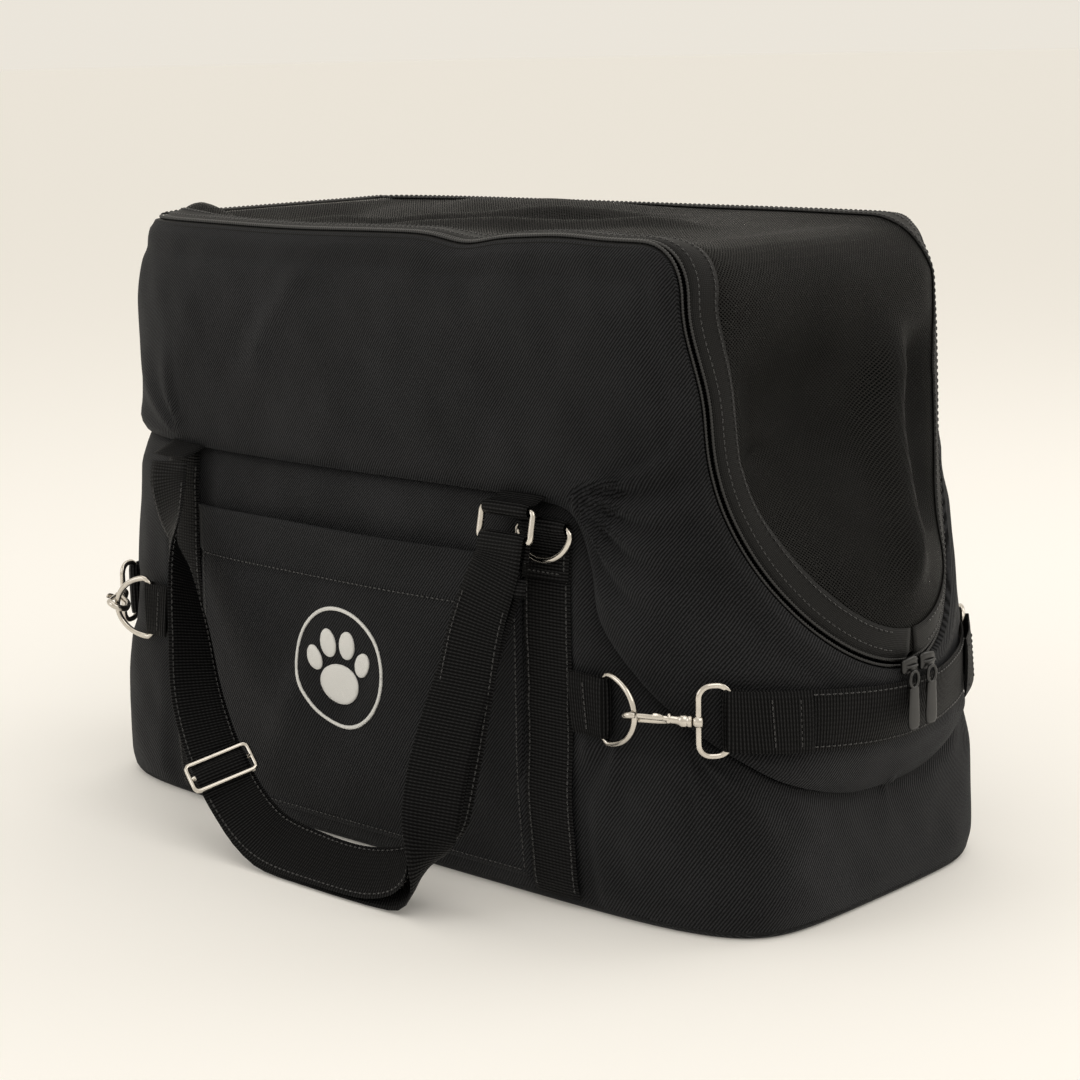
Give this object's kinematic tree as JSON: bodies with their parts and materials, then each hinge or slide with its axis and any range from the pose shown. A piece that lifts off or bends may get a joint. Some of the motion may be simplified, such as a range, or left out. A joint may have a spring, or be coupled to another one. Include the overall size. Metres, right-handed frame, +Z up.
{
  "type": "pet carrier bag",
  "caption": "Soft padded pet carrier bag with a zipped mesh top and front, a side pocket, webbing handles and clip-on belts.",
  "frame": {"origin": "middle of the base, on the floor", "axes": "+X along the bag towards its mesh front, -Y out of the pocket side, +Z up"},
  "size_m": [0.5248, 0.3642, 0.3369],
  "materials": {
    "padded_fabric": "matte fine twill, padded",
    "webbing": "ribbed woven webbing",
    "mesh": "open knitted mesh with a woven border",
    "zip_tape_coil": "black coil zip",
    "nickel": "polished nickel plate, slightly warm",
    "black_metal": "black lacquered zip metal",
    "embroidery": "white embroidery thread on a dark patch",
    "board": "stiff grey sheet"
  },
  "bodies": {
    "bag": {"upper_body": "padded_fabric", "lower_body": "padded_fabric", "base_board": "board", "zip_coil_body": "zip_tape_coil", "belt_front": "webbing", "belt_rear": "webbing", "pocket_panel": "padded_fabric", "embroidered_badge": "embroidery", "side_band_front_near": "webbing", "belt_tab_front_near": "webbing", "strap_tab_front_near": "webbing", "side_band_front_far": "webbing", "belt_tab_front_far": "webbing", "strap_tab_front_far": "webbing", "side_band_rear_near": "webbing", "belt_tab_rear_near": "webbing", "strap_tab_rear_near": "webbing", "side_band_rear_far": "webbing", "belt_tab_rear_far": "webbing", "strap_tab_rear_far": "webbing"},
    "cushion": {"cushion": "padded_fabric"},
    "cover_top": {"cover_top": "mesh", "zip_coil_top_near": "zip_tape_coil", "zip_coil_top_far": "zip_tape_coil"},
    "cover_front": {"cover_front": "mesh", "zip_coil_front": "zip_tape_coil"},
    "zip_slider_near": {"zip_slider_near": "black_metal"},
    "zip_pull_near": {"zip_pull_near": "black_metal"},
    "carry_strap_near": {"carry_strap_near": "webbing", "strap_tri_glide_near": "nickel", "strap_ring_near": "nickel"},
    "strap_d_ring_near": {"strap_d_ring_near": "nickel"},
    "belt_d_ring_front_near": {"belt_d_ring_front_near": "nickel"},
    "belt_ring_front_near": {"belt_ring_front_near": "nickel"},
    "snap_hook_front_near": {"snap_hook_front_near": "nickel"},
    "hook_gate_front_near": {"hook_gate_front_near": "nickel"},
    "belt_d_ring_rear_near": {"belt_d_ring_rear_near": "nickel"},
    "belt_ring_rear_near": {"belt_ring_rear_near": "nickel"},
    "snap_hook_rear_near": {"snap_hook_rear_near": "nickel"},
    "hook_gate_rear_near": {"hook_gate_rear_near": "nickel"},
    "zip_slider_far": {"zip_slider_far": "black_metal"},
    "zip_pull_far": {"zip_pull_far": "black_metal"},
    "carry_strap_far": {"carry_strap_far": "webbing", "strap_tri_glide_far": "nickel", "strap_ring_far": "nickel"},
    "strap_d_ring_far": {"strap_d_ring_far": "nickel"},
    "belt_d_ring_front_far": {"belt_d_ring_front_far": "nickel"},
    "belt_ring_front_far": {"belt_ring_front_far": "nickel"},
    "snap_hook_front_far": {"snap_hook_front_far": "nickel"},
    "hook_gate_front_far": {"hook_gate_front_far": "nickel"},
    "belt_d_ring_rear_far": {"belt_d_ring_rear_far": "nickel"},
    "belt_ring_rear_far": {"belt_ring_rear_far": "nickel"},
    "snap_hook_rear_far": {"snap_hook_rear_far": "nickel"},
    "hook_gate_rear_far": {"hook_gate_rear_far": "nickel"}
  },
  "joints": [
    {"name": "cushion_lift", "type": "slide", "parent": "bag", "child": "cushion", "axis": [0, 0, 1], "range_m": [0, 0.036]},
    {"name": "cover_rear_fold", "type": "hinge", "parent": "bag", "child": "cover_top", "pos_m": [-0.19, 0, 0.33775], "axis": [0, -1, 0], "range_deg": [0, 180]},
    {"name": "cover_front_fold", "type": "hinge", "parent": "cover_top", "child": "cover_front", "pos_m": [0.1735, 0, 0.33775], "axis": [0, -1, 0], "range_deg": [0, 150]},
    {"name": "zip_slider_near_run", "type": "slide", "parent": "bag", "child": "zip_slider_near", "axis": [0, -1, 0], "range_m": [0, 0.012]},
    {"name": "zip_pull_near_swing", "type": "hinge", "parent": "zip_slider_near", "child": "zip_pull_near", "pos_m": [0.27209, -0.0075, 0.12348], "axis": [0, -1, 0], "range_deg": [0, 150]},
    {"name": "carry_strap_near_swing", "type": "hinge", "parent": "bag", "child": "carry_strap_near", "pos_m": [0, -0.128, 0.2045], "axis": [-1, 0, 0], "range_deg": [0, 130]},
    {"name": "strap_d_ring_near_swing", "type": "hinge", "parent": "bag", "child": "strap_d_ring_near", "pos_m": [0.131, -0.11899, 0.19663], "axis": [-1, 0, 0], "range_deg": [0, 12]},
    {"name": "belt_ring_front_near_swing", "type": "hinge", "parent": "bag", "child": "belt_ring_front_near", "pos_m": [0.23015, -0.09945, 0.111], "axis": [0, 0, -1], "range_deg": [0, 4]},
    {"name": "belt_d_ring_front_near_swing", "type": "hinge", "parent": "bag", "child": "belt_d_ring_front_near", "pos_m": [0.16783, -0.11928, 0.111], "axis": [0, 0, 1], "range_deg": [0, 7.8]},
    {"name": "snap_hook_front_near_swivel", "type": "hinge", "parent": "belt_ring_front_near", "child": "snap_hook_front_near", "pos_m": [0.21771, -0.11185, 0.111], "axis": [0.9209, 0.3897, 0], "range_deg": [0, 30]},
    {"name": "hook_gate_front_near_open", "type": "hinge", "parent": "snap_hook_front_near", "child": "hook_gate_front_near", "pos_m": [0.20808, -0.11859, 0.11214], "axis": [0.1647, -0.3892, -0.9063], "range_deg": [0, 14], "stiffness_Nm_per_rad": 0.002, "springref_deg": -11.46},
    {"name": "belt_ring_rear_near_swing", "type": "hinge", "parent": "bag", "child": "belt_ring_rear_near", "pos_m": [-0.23369, -0.08872, 0.111], "axis": [0, 0, 1], "range_deg": [0, 3]},
    {"name": "belt_d_ring_rear_near_swing", "type": "hinge", "parent": "bag", "child": "belt_d_ring_rear_near", "pos_m": [-0.18353, -0.11707, 0.111], "axis": [0, 0, -1], "range_deg": [0, 5.85]},
    {"name": "snap_hook_rear_near_swivel", "type": "hinge", "parent": "belt_ring_rear_near", "child": "snap_hook_rear_near", "pos_m": [-0.22654, -0.10476, 0.111], "axis": [0.7193, -0.6947, 0], "range_deg": [0, 24]},
    {"name": "hook_gate_rear_near_open", "type": "hinge", "parent": "snap_hook_rear_near", "child": "hook_gate_rear_near", "pos_m": [-0.21997, -0.11451, 0.11214], "axis": [0.2936, 0.304, 0.9063], "range_deg": [0, 10], "stiffness_Nm_per_rad": 0.002, "springref_deg": -11.46},
    {"name": "zip_slider_far_run", "type": "slide", "parent": "bag", "child": "zip_slider_far", "axis": [0, 1, 0], "range_m": [0, 0.012]},
    {"name": "zip_pull_far_swing", "type": "hinge", "parent": "zip_slider_far", "child": "zip_pull_far", "pos_m": [0.27209, 0.0075, 0.12348], "axis": [0, -1, 0], "range_deg": [0, 150]},
    {"name": "carry_strap_far_swing", "type": "hinge", "parent": "bag", "child": "carry_strap_far", "pos_m": [0, 0.128, 0.2045], "axis": [1, 0, 0], "range_deg": [0, 130]},
    {"name": "strap_d_ring_far_swing", "type": "hinge", "parent": "bag", "child": "strap_d_ring_far", "pos_m": [0.131, 0.11899, 0.19663], "axis": [1, 0, 0], "range_deg": [0, 12]},
    {"name": "belt_ring_front_far_swing", "type": "hinge", "parent": "bag", "child": "belt_ring_front_far", "pos_m": [0.23015, 0.09945, 0.111], "axis": [0, 0, 1], "range_deg": [0, 4]},
    {"name": "belt_d_ring_front_far_swing", "type": "hinge", "parent": "bag", "child": "belt_d_ring_front_far", "pos_m": [0.16783, 0.11928, 0.111], "axis": [0, 0, -1], "range_deg": [0, 7.8]},
    {"name": "snap_hook_front_far_swivel", "type": "hinge", "parent": "belt_ring_front_far", "child": "snap_hook_front_far", "pos_m": [0.21771, 0.11185, 0.111], "axis": [-0.9209, 0.3897, 0], "range_deg": [0, 30]},
    {"name": "hook_gate_front_far_open", "type": "hinge", "parent": "snap_hook_front_far", "child": "hook_gate_front_far", "pos_m": [0.20808, 0.11859, 0.11214], "axis": [-0.1647, -0.3892, 0.9063], "range_deg": [0, 14], "stiffness_Nm_per_rad": 0.002, "springref_deg": -11.46},
    {"name": "belt_ring_rear_far_swing", "type": "hinge", "parent": "bag", "child": "belt_ring_rear_far", "pos_m": [-0.23369, 0.08872, 0.111], "axis": [0, 0, -1], "range_deg": [0, 3]},
    {"name": "belt_d_ring_rear_far_swing", "type": "hinge", "parent": "bag", "child": "belt_d_ring_rear_far", "pos_m": [-0.18353, 0.11707, 0.111], "axis": [0, 0, 1], "range_deg": [0, 5.85]},
    {"name": "snap_hook_rear_far_swivel", "type": "hinge", "parent": "belt_ring_rear_far", "child": "snap_hook_rear_far", "pos_m": [-0.22654, 0.10476, 0.111], "axis": [-0.7193, -0.6947, 0], "range_deg": [0, 24]},
    {"name": "hook_gate_rear_far_open", "type": "hinge", "parent": "snap_hook_rear_far", "child": "hook_gate_rear_far", "pos_m": [-0.21997, 0.11451, 0.11214], "axis": [-0.2936, 0.304, -0.9063], "range_deg": [0, 10], "stiffness_Nm_per_rad": 0.002, "springref_deg": -11.46}
  ],
  "couplings": [
    {"joint": "belt_d_ring_front_near_swing", "follows": "belt_ring_front_near_swing", "ratio": 1.947},
    {"joint": "belt_d_ring_rear_near_swing", "follows": "belt_ring_rear_near_swing", "ratio": 1.947},
    {"joint": "belt_d_ring_front_far_swing", "follows": "belt_ring_front_far_swing", "ratio": 1.947},
    {"joint": "belt_d_ring_rear_far_swing", "follows": "belt_ring_rear_far_swing", "ratio": 1.947}
  ]
}
